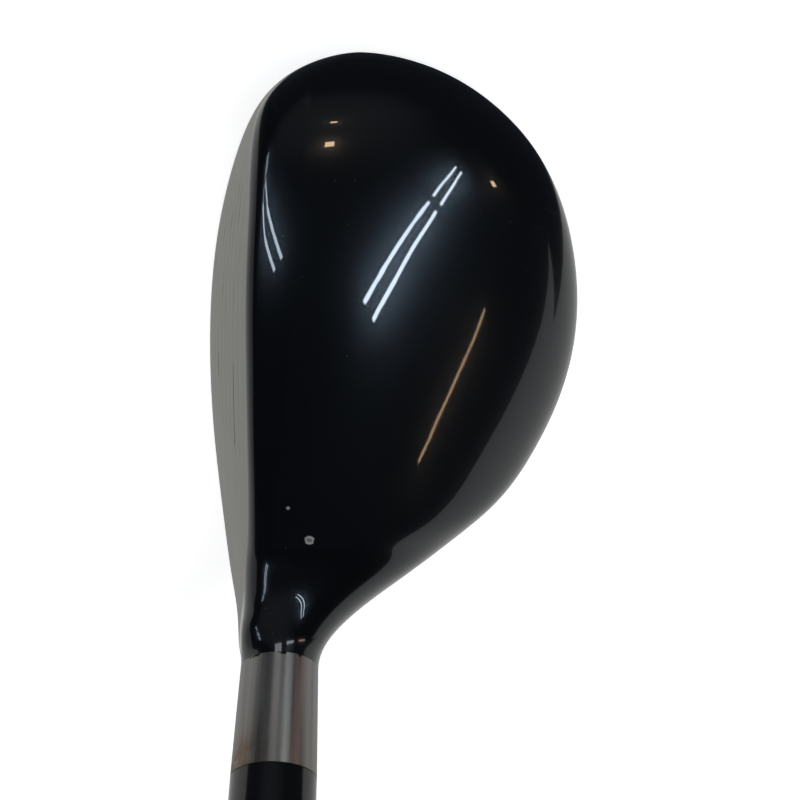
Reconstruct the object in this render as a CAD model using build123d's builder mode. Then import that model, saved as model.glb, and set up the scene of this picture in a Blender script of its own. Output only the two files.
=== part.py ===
from build123d import *
import os
from math import cos, radians, sin, sqrt, tan
from typing import NamedTuple

# Hybrid golf club, right-handed, standing at address.
# Frame: origin on the ground under the middle of the leading edge, +Z up. The face looks along -Y,
# the toe points along -X, and the shaft leaves the heel towards +X. All sizes are millimetres.
#
# The head is one smooth loft. Its sections stand upright along the toe and the middle, then fan about
# a pivot line above the heel until they are square to the shaft, then rise along the hosel.
# A cavity is taken out of it, and it is parted into casting, crown and face plate.
# Distances "up the shaft" are counted along its axis from the paint line of the hosel.

# ---------------------------------------------------------------- driving dimensions
LIE = 59.5                       # shaft to ground, degrees
SHAFT_Y = 15.1                   # the shaft axis lies in this upright plane
PIVOT_X, PIVOT_Z = 28.5, 54.4    # centre of the hollow curve between crown and hosel
NECK_HOLLOW = 18.0               # radius of that curve

PAINT_LINE_R = 6.4               # hosel radius where the paint stops
HOSEL_TOP_R = 6.75               # hosel radius at its mouth
HOSEL_TOP = 18.5                 # hosel mouth, up the shaft
BORE_R = 4.82                    # hosel bore
BORE_DEPTH = 31.0
BORE_FLARE = 0.8                 # countersink at the hosel mouth

CROWN_WALL = 0.9
SOLE_WALL = 1.9
FACE_WALL = 2.2
SKIRT_WALL = 1.1
SHOULDER = 0.40                  # fullness of crown and sole towards the front
REAR = 0.66                      # fullness of the rounded rear
CORNER = 0.6                     # fullness of the edges round the face
TOE_CLOSE = 27.0                 # length over which the walls turn in towards the toe

PARTING_Z = 12.5                 # lower edge of the crown shell, under the widest line
CROWN_HEEL_X = 30.0              # heel end of the crown shell
CROWN_FRONT_HEEL_Y = 14.5        # its front edge runs straight from here at the heel end
CROWN_FRONT_TOE_X = -60.0        # to here, beyond the toe
CROWN_FRONT_TOE_Y = 25.5

FACE_LOFT = 18.2                 # degrees
FACE_CENTRE = (0, 6.6, 18)       # middle of the face plane
PLATE_OUTLINE = ((-24, -14), (-24, 16), (16, 15.5), (36, 8), (37, -4), (24, -14))
PLATE_ROUND = 5.0
SCORE_COUNT = 8
SCORE_PITCH = 3.4
SCORE_WIDTH = 0.6
SCORE_DEPTH = 0.2
SCORE_LENGTH = 44.0
SCORE_TOEWARD = 6.0              # centre of the score lines, towards the toe

BADGE_OUTLINE = ((-30, 12), (20, 12), (12, 34), (-20, 34))
BADGE_ROUND = 4.0
BADGE_THICK = 0.7
TAPE_THICK = 0.25

PORT_PLACE = (-2.0, 45.0, 3.6)   # centre of the weight port on the rear of the sole
PORT_TILT = 12.8                 # the sole rises by this angle there, degrees
PORT_R = 6.6
PORT_DEPTH = 3.6
BOSS_R = 9.0
BOSS_HEIGHT = 8.6
SCREW_HEAD_R = 6.4
SCREW_HEAD = 3.2
SCREW_BEVEL = 0.4
SCREW_R = 2.5
SCREW_LENGTH = 4.4
SOCKET_R = 2.6                   # hexagon, across its corners / 2
SOCKET_DEPTH = 2.0

WEIGHT_PLACE = (-4, 13)          # bar of tungsten on the sole, behind the face
WEIGHT_LENGTH = 44.0
WEIGHT_WIDTH = 9.0
WEIGHT_ROUND = 3.0
WEIGHT_TOP = 6.5
MELT_PLACE = (17, 36, 0)         # blob of hot melt in the heel, for swing weight and sound
MELT_R = 8.5

TIP_R = 4.7                      # shaft tip, 0.370 inch parallel
BUTT_R = 7.62                    # shaft butt, 0.600 inch
SHAFT_END = 975.0                # top of the shaft
TIP_PARALLEL = 75.0              # the shaft is parallel up to here
BUTT_PARALLEL = 700.0            # and again from here
TIP_BORE_R = 2.7
BUTT_BORE_R = 6.6
TIP_FLANGE = 1.0
TIP_STEM = 14.0

BAND_START = 650.0               # foil band round the shaft, under the grip
BAND_LENGTH = 36.0
BAND_THICK = 0.12

FERRULE_LENGTH = 24.0
FERRULE_LIP = 0.3                # thickness of the ferrule's upper edge
FERRULE_STRAIGHT = 0.2           # share of its length that is as wide as the hosel
FERRULE_SHOULDER = 0.5           # share where the taper is fullest
FERRULE_SLIM = 0.4               # share at the top where it is slimmest

GRIP_START = 712.0
GRIP_WRAP = 0.2                  # thickness of the tape under the grip
GRIP_LIP = 2.0                   # the sleeve reaches this far past its tape
GRIP_MOUTH_R = 8.6
GRIP_NECK_R = 9.0
GRIP_NECK_SHARE = 0.12           # share of the grip's length where that radius is
GRIP_MIDDLE_R = 11.1
GRIP_MIDDLE_SHARE = 0.62
GRIP_END_R = 13.2
CAP_THICK = 4.5
CAP_ROUND = 2.5
VENT_R = 1.5

RING_FACE_TURN = 14              # the face edge of a round section spans this many degrees each way
RING_TOP_TURN = 60               # and its top edge ends at this many degrees over the horizontal
CLEAR = 2.0                      # cutting tools stand this much proud of what they cut
CUTTER_BEHIND = 5.0              # the face cutters start this far behind the face plane
CUTTER_LENGTH = 16.0
CROWN_CUTTER_BACK = 80.0
CROWN_CUTTER_HEIGHT = 40.0
BADGE_CUTTER_START = -3.0
BADGE_CUTTER_HEIGHT = 9.0


class Station(NamedTuple):
    """One cross-section of the head. Points are (distance back from the leading edge, height)."""
    place: float     # X of an upright section, or degrees of turn about the pivot
    top: tuple       # where the lines of face and crown would meet
    low: tuple       # where the lines of face and sole would meet
    rear: tuple      # rearmost point
    rounds: tuple    # size of the rounded edge at the top and at the bottom of the face
    rises: tuple     # slope of crown and of sole behind the face, degrees
    roll: float      # how far the face bulges from top to bottom, degrees


TOE_TIP = (-47.0, 30.4, 17.7)

UPRIGHT = (
    #       x      top           low           rear          rounds      rises    roll
    Station(-46.2, (25.2, 21.1), (25.2, 14.2), (36.2, 17.6), (2.4, 2.4), (8, -8), 0),
    Station(-44.0, (19.7, 24.6), (19.7, 10.4), (42.9, 17.6), (4.5, 4.5), (10, -8), 0),
    Station(-40.0, (15.6, 28.8), (14.3, 6.6), (49.8, 17.4), (5.0, 5.0), (12, -8), 1),
    Station(-34.0, (14.3, 32.2), (9.9, 3.6), (56.3, 17.2), (3.2, 4.0), (12, -7), 2),
    Station(-26.0, (13.8, 34.4), (6.4, 1.8), (61.5, 16.8), (2.0, 3.2), (11, -6), 3),
    Station(-15.0, (12.9, 35.8), (3.2, 0.9), (65.1, 16.2), (1.6, 2.8), (10, -5), 3),
    Station(-2.0, (12.2, 36.2), (1.0, 0.5), (66.2, 15.6), (1.6, 2.8), (10, -4), 3),
    Station(10.0, (11.7, 36.3), (0.1, 0.7), (64.1, 15.6), (1.6, 2.8), (9, -4), 3),
    Station(20.0, (11.3, 36.3), (0.0, 1.5), (59.7, 16.6), (1.8, 3.0), (8, -4), 3),
)
FANNED = (
    #       turn   top           low          rear          rounds      rises    roll
    Station(0.0, (10.8, 36.4), (0.4, 2.8), (53.6, 18.4), (2.2, 3.4), (6, -4), 3),
    Station(12.0, (10.4, 36.3), (1.6, 6.2), (45.2, 21.0), (3.0, 4.0), (4, -3), 2),
    Station(24.0, (10.1, 36.4), (3.5, 11.0), (35.9, 24.0), (3.6, 4.2), (3, -2), 1),
    Station(36.0, (9.8, 36.5), (5.6, 16.5), (27.5, 27.0), (3.8, 4.0), (2, -1), 0),
    Station(48.0, (9.3, 36.5), (7.0, 20.8), (22.6, 29.0), (3.6, 3.8), (1, 0), 0),
)
CAVITY_FANNED = 2                # the cavity ends at the second fanned section

# ---------------------------------------------------------------- planes
LIE_COS, LIE_SIN = cos(radians(LIE)), sin(radians(LIE))


def section_plane(turn, along=0.0):
    """Plane turned about the pivot; local x is +Y and local y is height over the head's base line."""
    up = Vector(-sin(radians(turn)), 0, cos(radians(turn)))
    out = Vector(cos(radians(turn)), 0, sin(radians(turn)))
    origin = Vector(PIVOT_X, 0, PIVOT_Z) - up * PIVOT_Z + out * along
    return Plane(origin=origin, x_dir=(0, 1, 0), z_dir=out)


AXIS_HEIGHT = PIVOT_Z - NECK_HOLLOW - PAINT_LINE_R
PAINT_CENTRE = section_plane(LIE).from_local_coords((SHAFT_Y, AXIS_HEIGHT, 0))
SHAFT_AXIS = Axis(PAINT_CENTRE, (LIE_COS, 0, LIE_SIN))
TURNING = Plane(origin=PAINT_CENTRE, x_dir=(0, 1, 0), z_dir=(LIE_SIN, 0, -LIE_COS))


def up_shaft(distance):
    """Plane square to the shaft axis, centred on it, this far up from the paint line."""
    return Plane(origin=PAINT_CENTRE, x_dir=(0, 1, 0), z_dir=(LIE_COS, 0, LIE_SIN)).offset(distance)


# ---------------------------------------------------------------- head sections
def heading(degrees):
    return Vector(cos(radians(degrees)), sin(radians(degrees)))


def inset(station, crown, sole, face, skirt):
    """The same section with its lines moved inwards by the wall thicknesses."""
    top, low = Vector(*station.top), Vector(*station.low)
    up_face = (top - low).normalized()
    crown_way, sole_way = heading(station.rises[0]), heading(station.rises[1])
    crown_sine = up_face.cross(crown_way).length
    sole_sine = up_face.cross(sole_way).length
    new_top = top - up_face * (crown / crown_sine) + crown_way * (face / crown_sine)
    new_low = low + up_face * (sole / sole_sine) + sole_way * (face / sole_sine)
    return station._replace(
        top=(new_top.X, new_top.Y),
        low=(new_low.X, new_low.Y),
        rear=(station.rear[0] - skirt, station.rear[1]),
    )


def draw_section(station, plane):
    """Closed outline of five smooth edges: face, top edge, crown with rear, sole, bottom edge."""
    top, low, rear = Vector(*station.top), Vector(*station.low), Vector(*station.rear)
    top_round, low_round = station.rounds
    up_face = (top - low).normalized()
    crown_way, sole_way = heading(station.rises[0]), heading(station.rises[1])
    leave_low = up_face.rotate(Axis.Z, station.roll)
    reach_top = up_face.rotate(Axis.Z, -station.roll)
    face_low = low + up_face * low_round
    face_top = top - up_face * top_round
    crown_front = top + crown_way * top_round
    sole_front = low + sole_way * low_round
    face_pull = (face_top - face_low).length / 3
    shoulder = SHOULDER * (rear.X - top.X)
    rear_up = Vector(0, REAR * (top.Y - rear.Y))
    rear_down = Vector(0, REAR * (low.Y - rear.Y))
    top_pull, low_pull = CORNER * top_round, CORNER * low_round
    with BuildSketch(plane) as outline:
        with BuildLine():
            Bezier(face_low, face_low + leave_low * face_pull, face_top - reach_top * face_pull, face_top)
            Bezier(face_top, face_top + reach_top * top_pull, crown_front - crown_way * top_pull, crown_front)
            Bezier(crown_front, crown_front + crown_way * shoulder, rear + rear_up, rear)
            Bezier(rear, rear + rear_down, sole_front + sole_way * shoulder, sole_front)
            Bezier(sole_front, sole_front - sole_way * low_pull, face_low - leave_low * low_pull, face_low)
        make_face()
    return outline.sketch


def draw_ring(radius, distance):
    """Round hosel section drawn with five edges, to match the edges of the other sections."""
    turns = (
        180 + RING_FACE_TURN,
        180 - RING_FACE_TURN,
        180 - RING_TOP_TURN,
        0,
        RING_TOP_TURN - 180,
        RING_FACE_TURN - 180,
    )
    with BuildSketch(up_shaft(distance)) as ring:
        with BuildLine():
            for start, stop in zip(turns[:-1], turns[1:]):
                pull = 4 / 3 * tan(radians(stop - start) / 4) * radius
                first, last = heading(start) * radius, heading(stop) * radius
                Bezier(first, first + heading(start + 90) * pull, last - heading(stop + 90) * pull, last)
        make_face()
    return ring.sketch


def inner_form(crown, sole, face, skirt):
    """Closed form inside the head, this far under its skin, from the toe to the start of the neck."""
    sections = [Vertex(TOE_TIP[0] + skirt, TOE_TIP[1], TOE_TIP[2])]
    for station in UPRIGHT:
        lean = max(0.0, min(1.0, (TOE_TIP[0] + TOE_CLOSE - station.place) / TOE_CLOSE))
        square = sqrt(1 - lean ** 2)
        smaller = inset(station, crown * square, sole * square, face * square, skirt * square)
        sections.append(draw_section(smaller, section_plane(0, station.place + skirt * lean - PIVOT_X)))
    for station in FANNED[:CAVITY_FANNED]:
        smaller = inset(station, crown, sole, face, skirt)
        sections.append(draw_section(smaller, section_plane(station.place)))
    with BuildPart() as form:
        loft(sections=sections)
    return form.part


outer_sections = [Vertex(*TOE_TIP)]
outer_sections += [draw_section(s, section_plane(0, s.place - PIVOT_X)) for s in UPRIGHT]
outer_sections += [draw_section(s, section_plane(s.place)) for s in FANNED]
outer_sections.append(draw_ring(PAINT_LINE_R, 0))
with BuildPart() as outer:
    loft(sections=outer_sections)
    loft(sections=[draw_ring(PAINT_LINE_R, 0), draw_ring(HOSEL_TOP_R, HOSEL_TOP)], ruled=True)
cavity = inner_form(CROWN_WALL, SOLE_WALL, FACE_WALL, SKIRT_WALL)
score_floor = inner_form(SCORE_DEPTH, SCORE_DEPTH, SCORE_DEPTH, SCORE_DEPTH)
badge_floor = inner_form(BADGE_THICK, BADGE_THICK, BADGE_THICK, BADGE_THICK)
pocket = BADGE_THICK + TAPE_THICK
pocket_floor = inner_form(pocket, pocket, pocket, pocket)

# ---------------------------------------------------------------- cutters that part the head
FACE_PLANE = Plane(
    origin=FACE_CENTRE,
    x_dir=(-1, 0, 0),
    z_dir=(0, -cos(radians(FACE_LOFT)), sin(radians(FACE_LOFT))),
)

with BuildPart() as face_cutter:
    with BuildSketch(FACE_PLANE.offset(-CUTTER_BEHIND)):
        with BuildLine():
            Polyline(*PLATE_OUTLINE, close=True)
        outline = make_face()
        fillet(outline.vertices(), radius=PLATE_ROUND)
    extrude(amount=CUTTER_LENGTH)

with BuildPart() as score_cutter:
    for row in range(SCORE_COUNT):
        rise = (row - (SCORE_COUNT - 1) / 2) * SCORE_PITCH
        with BuildSketch(FACE_PLANE.offset(-CUTTER_BEHIND)):
            with Locations((SCORE_TOEWARD, rise)):
                SlotOverall(SCORE_LENGTH, SCORE_WIDTH)
        extrude(amount=CUTTER_LENGTH)
    add(score_floor, mode=Mode.SUBTRACT)

with BuildPart() as crown_cutter:
    with BuildSketch(Plane.XY.offset(PARTING_Z)):
        with BuildLine():
            Polyline(
                (CROWN_HEEL_X, CROWN_FRONT_HEEL_Y),
                (CROWN_HEEL_X, CROWN_CUTTER_BACK),
                (CROWN_FRONT_TOE_X, CROWN_CUTTER_BACK),
                (CROWN_FRONT_TOE_X, CROWN_FRONT_TOE_Y),
                close=True,
            )
        make_face()
    extrude(amount=CROWN_CUTTER_HEIGHT)

with BuildPart() as badge_cutter:
    with BuildSketch(Plane.XY.offset(BADGE_CUTTER_START)):
        with BuildLine():
            Polyline(*BADGE_OUTLINE, close=True)
        outline = make_face()
        fillet(outline.vertices(), radius=BADGE_ROUND)
    extrude(amount=BADGE_CUTTER_HEIGHT)

# ---------------------------------------------------------------- head pieces
with BuildPart() as shell:
    add(outer.part)
    add(cavity, mode=Mode.SUBTRACT)
    with BuildSketch(TURNING):
        with BuildLine():
            Polyline(
                (0, HOSEL_TOP - BORE_DEPTH),
                (BORE_R, HOSEL_TOP - BORE_DEPTH),
                (BORE_R, HOSEL_TOP - BORE_FLARE),
                (BORE_R + BORE_FLARE, HOSEL_TOP),
                (BORE_R + BORE_FLARE, HOSEL_TOP + CLEAR),
                (0, HOSEL_TOP + CLEAR),
                close=True,
            )
        make_face()
    revolve(axis=SHAFT_AXIS, mode=Mode.SUBTRACT)

PORT = Plane(
    origin=PORT_PLACE,
    x_dir=(1, 0, 0),
    z_dir=(0, sin(radians(PORT_TILT)), -cos(radians(PORT_TILT))),
)

with BuildPart() as boss:
    with BuildSketch(PORT.offset(CLEAR)):
        Circle(BOSS_R)
    extrude(amount=-BOSS_HEIGHT - CLEAR)
    add(outer.part, mode=Mode.INTERSECT)

with BuildPart() as badge_pocket:
    add(badge_cutter.part)
    add(pocket_floor, mode=Mode.SUBTRACT)

with BuildPart() as head_body:
    add(shell.part)
    add(crown_cutter.part, mode=Mode.SUBTRACT)
    add(face_cutter.part, mode=Mode.SUBTRACT)
    add(badge_pocket.part, mode=Mode.SUBTRACT)
    add(boss.part)
    with BuildSketch(PORT.offset(CLEAR)):
        Circle(PORT_R)
    extrude(amount=-PORT_DEPTH - CLEAR, mode=Mode.SUBTRACT)
    with BuildSketch(PORT.offset(-PORT_DEPTH)):
        Circle(SCREW_R)
    extrude(amount=-SCREW_LENGTH, mode=Mode.SUBTRACT)

with BuildPart() as crown:
    add(shell.part)
    add(crown_cutter.part, mode=Mode.INTERSECT)

with BuildPart() as face_plate:
    add(shell.part)
    add(face_cutter.part, mode=Mode.INTERSECT)
    add(score_cutter.part, mode=Mode.SUBTRACT)

with BuildPart() as sole_badge:
    add(badge_cutter.part)
    add(outer.part, mode=Mode.INTERSECT)
    add(badge_floor, mode=Mode.SUBTRACT)

with BuildPart() as badge_tape:
    add(badge_cutter.part)
    add(badge_floor, mode=Mode.INTERSECT)
    add(pocket_floor, mode=Mode.SUBTRACT)

with BuildPart() as weight_screw:
    with BuildSketch(PORT.offset(-PORT_DEPTH)):
        Circle(SCREW_HEAD_R)
    extrude(amount=SCREW_HEAD)
    chamfer(weight_screw.edges().sort_by(Axis((0, 0, 0), PORT.z_dir))[-1], length=SCREW_BEVEL)
    with BuildSketch(PORT.offset(-PORT_DEPTH)):
        Circle(SCREW_R)
    extrude(amount=-SCREW_LENGTH)
    with BuildSketch(PORT.offset(SCREW_HEAD - PORT_DEPTH)):
        RegularPolygon(SOCKET_R, side_count=6)
    extrude(amount=-SOCKET_DEPTH, mode=Mode.SUBTRACT)

with BuildPart() as sole_weight:
    with BuildSketch(Plane.XY):
        with Locations(WEIGHT_PLACE):
            RectangleRounded(WEIGHT_LENGTH, WEIGHT_WIDTH, radius=WEIGHT_ROUND)
    extrude(amount=WEIGHT_TOP)
    add(cavity, mode=Mode.INTERSECT)

with BuildPart() as hot_melt_pad:
    with Locations(MELT_PLACE):
        Sphere(MELT_R)
    add(cavity, mode=Mode.INTERSECT)


# ---------------------------------------------------------------- pieces turned about the shaft axis
with BuildPart() as hosel_bond:
    with BuildSketch(TURNING):
        with BuildLine():
            Polyline(
                (TIP_R, HOSEL_TOP - BORE_DEPTH),
                (BORE_R, HOSEL_TOP - BORE_DEPTH),
                (BORE_R, HOSEL_TOP - BORE_FLARE),
                (BORE_R + BORE_FLARE, HOSEL_TOP),
                (TIP_R, HOSEL_TOP),
                close=True,
            )
        make_face()
    revolve(axis=SHAFT_AXIS)

SHAFT_START = HOSEL_TOP - BORE_DEPTH + TIP_FLANGE
with BuildPart() as tip_weight:
    with BuildSketch(up_shaft(HOSEL_TOP - BORE_DEPTH)):
        Circle(TIP_R)
    extrude(amount=TIP_FLANGE)
    with BuildSketch(up_shaft(SHAFT_START)):
        Circle(TIP_BORE_R)
    extrude(amount=TIP_STEM)

with BuildPart() as shaft:
    with BuildSketch(TURNING):
        with BuildLine():
            Polyline(
                (TIP_BORE_R, SHAFT_START),
                (TIP_R, SHAFT_START),
                (TIP_R, TIP_PARALLEL),
                (BUTT_R, BUTT_PARALLEL),
                (BUTT_R, SHAFT_END),
                (BUTT_BORE_R, SHAFT_END),
                (BUTT_BORE_R, BUTT_PARALLEL),
                (TIP_BORE_R, TIP_PARALLEL),
                close=True,
            )
        make_face()
    revolve(axis=SHAFT_AXIS)


def shaft_radius(distance):
    """Radius of the shaft on its tapered length."""
    share = (distance - TIP_PARALLEL) / (BUTT_PARALLEL - TIP_PARALLEL)
    return TIP_R + (BUTT_R - TIP_R) * share


BAND_END = BAND_START + BAND_LENGTH
with BuildPart() as shaft_band:
    with BuildSketch(TURNING):
        with BuildLine():
            Polyline(
                (shaft_radius(BAND_START), BAND_START),
                (shaft_radius(BAND_START) + BAND_THICK, BAND_START),
                (shaft_radius(BAND_END) + BAND_THICK, BAND_END),
                (shaft_radius(BAND_END), BAND_END),
                close=True,
            )
        make_face()
    revolve(axis=SHAFT_AXIS)

FERRULE_TOP = HOSEL_TOP + FERRULE_LENGTH
FERRULE_BEND = HOSEL_TOP + FERRULE_LENGTH * FERRULE_STRAIGHT
with BuildPart() as ferrule:
    with BuildSketch(TURNING):
        with BuildLine():
            Line((TIP_R, HOSEL_TOP), (HOSEL_TOP_R, HOSEL_TOP))
            Line((HOSEL_TOP_R, HOSEL_TOP), (HOSEL_TOP_R, FERRULE_BEND))
            Bezier(
                (HOSEL_TOP_R, FERRULE_BEND),
                (HOSEL_TOP_R, HOSEL_TOP + FERRULE_LENGTH * FERRULE_SHOULDER),
                (TIP_R + FERRULE_LIP, FERRULE_TOP - FERRULE_LENGTH * FERRULE_SLIM),
                (TIP_R + FERRULE_LIP, FERRULE_TOP),
            )
            Line((TIP_R + FERRULE_LIP, FERRULE_TOP), (TIP_R, FERRULE_TOP))
            Line((TIP_R, FERRULE_TOP), (TIP_R, HOSEL_TOP))
        make_face()
    revolve(axis=SHAFT_AXIS)

with BuildPart() as grip_tape:
    with BuildSketch(TURNING):
        with BuildLine():
            Polyline(
                (BUTT_R, GRIP_START + GRIP_LIP),
                (BUTT_R + GRIP_WRAP, GRIP_START + GRIP_LIP),
                (BUTT_R + GRIP_WRAP, SHAFT_END),
                (BUTT_R, SHAFT_END),
                close=True,
            )
        make_face()
    revolve(axis=SHAFT_AXIS)

GRIP_LENGTH = SHAFT_END - GRIP_START
with BuildPart() as grip_sleeve:
    with BuildSketch(TURNING):
        with BuildLine():
            inside = Line((BUTT_R + GRIP_WRAP, SHAFT_END), (BUTT_R + GRIP_WRAP, GRIP_START))
            mouth = Line(inside @ 1, (GRIP_MOUTH_R, GRIP_START))
            side = Spline(
                mouth @ 1,
                (GRIP_NECK_R, GRIP_START + GRIP_LENGTH * GRIP_NECK_SHARE),
                (GRIP_MIDDLE_R, GRIP_START + GRIP_LENGTH * GRIP_MIDDLE_SHARE),
                (GRIP_END_R, SHAFT_END),
            )
            Line(side @ 1, inside @ 0)
        make_face()
    revolve(axis=SHAFT_AXIS)

with BuildPart() as grip_cap:
    with BuildSketch(up_shaft(SHAFT_END)):
        Circle(GRIP_END_R)
    extrude(amount=CAP_THICK)
    fillet(grip_cap.edges().sort_by(SHAFT_AXIS)[-1], radius=CAP_ROUND)
    with BuildSketch(up_shaft(SHAFT_END)):
        Circle(VENT_R)
    extrude(amount=CAP_THICK, mode=Mode.SUBTRACT)

# ---------------------------------------------------------------- export
PIECES = {
    "head_body": head_body,
    "crown_shell": crown,
    "face_plate": face_plate,
    "sole_badge": sole_badge,
    "badge_tape": badge_tape,
    "weight_screw": weight_screw,
    "sole_weight": sole_weight,
    "hot_melt_pad": hot_melt_pad,
    "hosel_bond": hosel_bond,
    "tip_weight": tip_weight,
    "ferrule": ferrule,
    "shaft": shaft,
    "shaft_band": shaft_band,
    "grip_tape": grip_tape,
    "grip_sleeve": grip_sleeve,
    "grip_cap": grip_cap,
}
os.makedirs("parts", exist_ok=True)
for name, piece in PIECES.items():
    piece.part.label = name
    export_step(piece.part, f"parts/{name}.step")
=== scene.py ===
from math import atan2, cos, pi, radians, sin, tan
from typing import NamedTuple

import bmesh
import bpy
import numpy as np
from mathutils import Matrix, Vector


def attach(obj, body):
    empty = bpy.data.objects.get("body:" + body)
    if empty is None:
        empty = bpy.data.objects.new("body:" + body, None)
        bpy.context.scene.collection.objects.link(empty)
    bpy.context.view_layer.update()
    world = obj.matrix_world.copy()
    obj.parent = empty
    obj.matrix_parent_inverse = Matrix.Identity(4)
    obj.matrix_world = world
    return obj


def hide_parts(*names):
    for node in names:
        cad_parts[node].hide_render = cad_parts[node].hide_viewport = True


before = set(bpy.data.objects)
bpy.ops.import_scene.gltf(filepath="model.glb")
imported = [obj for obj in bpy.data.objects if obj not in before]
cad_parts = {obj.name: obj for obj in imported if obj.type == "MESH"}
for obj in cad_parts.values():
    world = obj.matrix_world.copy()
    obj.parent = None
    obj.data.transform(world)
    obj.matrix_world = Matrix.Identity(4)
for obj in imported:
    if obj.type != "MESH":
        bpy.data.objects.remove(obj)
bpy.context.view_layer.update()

# Hybrid golf club at address: +Z up, the face looks along -Y, toe towards -X, shaft towards +X.
# Lengths in the head's section table are millimetres; everything put in the scene is metres.
MM = 0.001

# ---------------------------------------------------------------- sizes, as in the CAD source
LIE = radians(59.5)
SHAFT_Y = 15.1
PIVOT_X, PIVOT_Z = 28.5, 54.4
NECK_HOLLOW = 18.0
PAINT_LINE_R = 6.4
HOSEL_TOP_R = 6.75
HOSEL_TOP = 18.5
SHOULDER, REAR, CORNER = 0.40, 0.66, 0.6
PARTING_Z = 12.5
CROWN_HEEL_X = 30.0
CROWN_FRONT_HEEL_Y, CROWN_FRONT_TOE_Y = 14.5, 25.5
FACE_LOFT = radians(18.2)


class Station(NamedTuple):
    place: float
    top: tuple
    low: tuple
    rear: tuple
    rounds: tuple
    rises: tuple
    roll: float


TOE_TIP = (-47.0, 30.4, 17.7)
UPRIGHT = (
    Station(-46.2, (25.2, 21.1), (25.2, 14.2), (36.2, 17.6), (2.4, 2.4), (8, -8), 0),
    Station(-44.0, (19.7, 24.6), (19.7, 10.4), (42.9, 17.6), (4.5, 4.5), (10, -8), 0),
    Station(-40.0, (15.6, 28.8), (14.3, 6.6), (49.8, 17.4), (5.0, 5.0), (12, -8), 1),
    Station(-34.0, (14.3, 32.2), (9.9, 3.6), (56.3, 17.2), (3.2, 4.0), (12, -7), 2),
    Station(-26.0, (13.8, 34.4), (6.4, 1.8), (61.5, 16.8), (2.0, 3.2), (11, -6), 3),
    Station(-15.0, (12.9, 35.8), (3.2, 0.9), (65.1, 16.2), (1.6, 2.8), (10, -5), 3),
    Station(-2.0, (12.2, 36.2), (1.0, 0.5), (66.2, 15.6), (1.6, 2.8), (10, -4), 3),
    Station(10.0, (11.7, 36.3), (0.1, 0.7), (64.1, 15.6), (1.6, 2.8), (9, -4), 3),
    Station(20.0, (11.3, 36.3), (0.0, 1.5), (59.7, 16.6), (1.8, 3.0), (8, -4), 3),
)
FANNED = (
    Station(0.0, (10.8, 36.4), (0.4, 2.8), (53.6, 18.4), (2.2, 3.4), (6, -4), 3),
    Station(12.0, (10.4, 36.3), (1.6, 6.2), (45.2, 21.0), (3.0, 4.0), (4, -3), 2),
    Station(24.0, (10.1, 36.4), (3.5, 11.0), (35.9, 24.0), (3.6, 4.2), (3, -2), 1),
    Station(36.0, (9.8, 36.5), (5.6, 16.5), (27.5, 27.0), (3.8, 4.0), (2, -1), 0),
    Station(48.0, (9.3, 36.5), (7.0, 20.8), (22.6, 29.0), (3.6, 3.8), (1, 0), 0),
)
SHAFT_WAY = np.array([cos(LIE), 0.0, sin(LIE)])
SHAFT_UP = np.array([-sin(LIE), 0.0, cos(LIE)])
AXIS_HEIGHT = PIVOT_Z - NECK_HOLLOW - PAINT_LINE_R
PAINT_CENTRE = np.array([PIVOT_X, SHAFT_Y, PIVOT_Z]) - SHAFT_UP * (PIVOT_Z - AXIS_HEIGHT)

# mesh fineness
EDGE_STEPS = (22, 8, 76, 46, 8)      # across face, top edge, crown, sole, bottom edge
LENGTH_STEPS = 220                   # from toe tip to paint line
HOSEL_STEPS = 12


# ---------------------------------------------------------------- head surface
def heading(degrees):
    return np.array([cos(radians(degrees)), sin(radians(degrees))])


def turned(way, degrees):
    c, s = cos(radians(degrees)), sin(radians(degrees))
    return np.array([way[0] * c - way[1] * s, way[0] * s + way[1] * c])


def section_edges(station):
    """Five cubic edges of a section: face, top edge, crown with rear, sole, bottom edge."""
    top, low, rear = (np.array(p, float) for p in (station.top, station.low, station.rear))
    top_round, low_round = station.rounds
    up_face = (top - low) / np.linalg.norm(top - low)
    crown_way, sole_way = heading(station.rises[0]), heading(station.rises[1])
    leave_low, reach_top = turned(up_face, station.roll), turned(up_face, -station.roll)
    face_low, face_top = low + up_face * low_round, top - up_face * top_round
    crown_front, sole_front = top + crown_way * top_round, low + sole_way * low_round
    pull = np.linalg.norm(face_top - face_low) / 3
    shoulder = SHOULDER * (rear[0] - top[0])
    rear_up = np.array([0, REAR * (top[1] - rear[1])])
    rear_down = np.array([0, REAR * (low[1] - rear[1])])
    top_pull, low_pull = CORNER * top_round, CORNER * low_round
    return (
        (face_low, face_low + leave_low * pull, face_top - reach_top * pull, face_top),
        (face_top, face_top + reach_top * top_pull, crown_front - crown_way * top_pull, crown_front),
        (crown_front, crown_front + crown_way * shoulder, rear + rear_up, rear),
        (rear, rear + rear_down, sole_front + sole_way * shoulder, sole_front),
        (sole_front, sole_front - sole_way * low_pull, face_low - leave_low * low_pull, face_low),
    )


def ring_edges(radius):
    face_edge, top_edge = 14, 60
    turns = (180 + face_edge, 180 - face_edge, 180 - top_edge, 0, top_edge - 180, face_edge - 180)
    centre = np.array([SHAFT_Y, AXIS_HEIGHT])
    edges = []
    for start, stop in zip(turns[:-1], turns[1:]):
        pull = 4 / 3 * tan(radians(stop - start) / 4) * radius
        first, last = centre + heading(start) * radius, centre + heading(stop) * radius
        edges.append((first, first + heading(start + 90) * pull, last - heading(stop + 90) * pull, last))
    return edges


def cubic(t, edge):
    a, b, c, d = edge
    return (1 - t) ** 3 * a + 3 * (1 - t) ** 2 * t * b + 3 * (1 - t) * t ** 2 * c + t ** 3 * d


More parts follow.
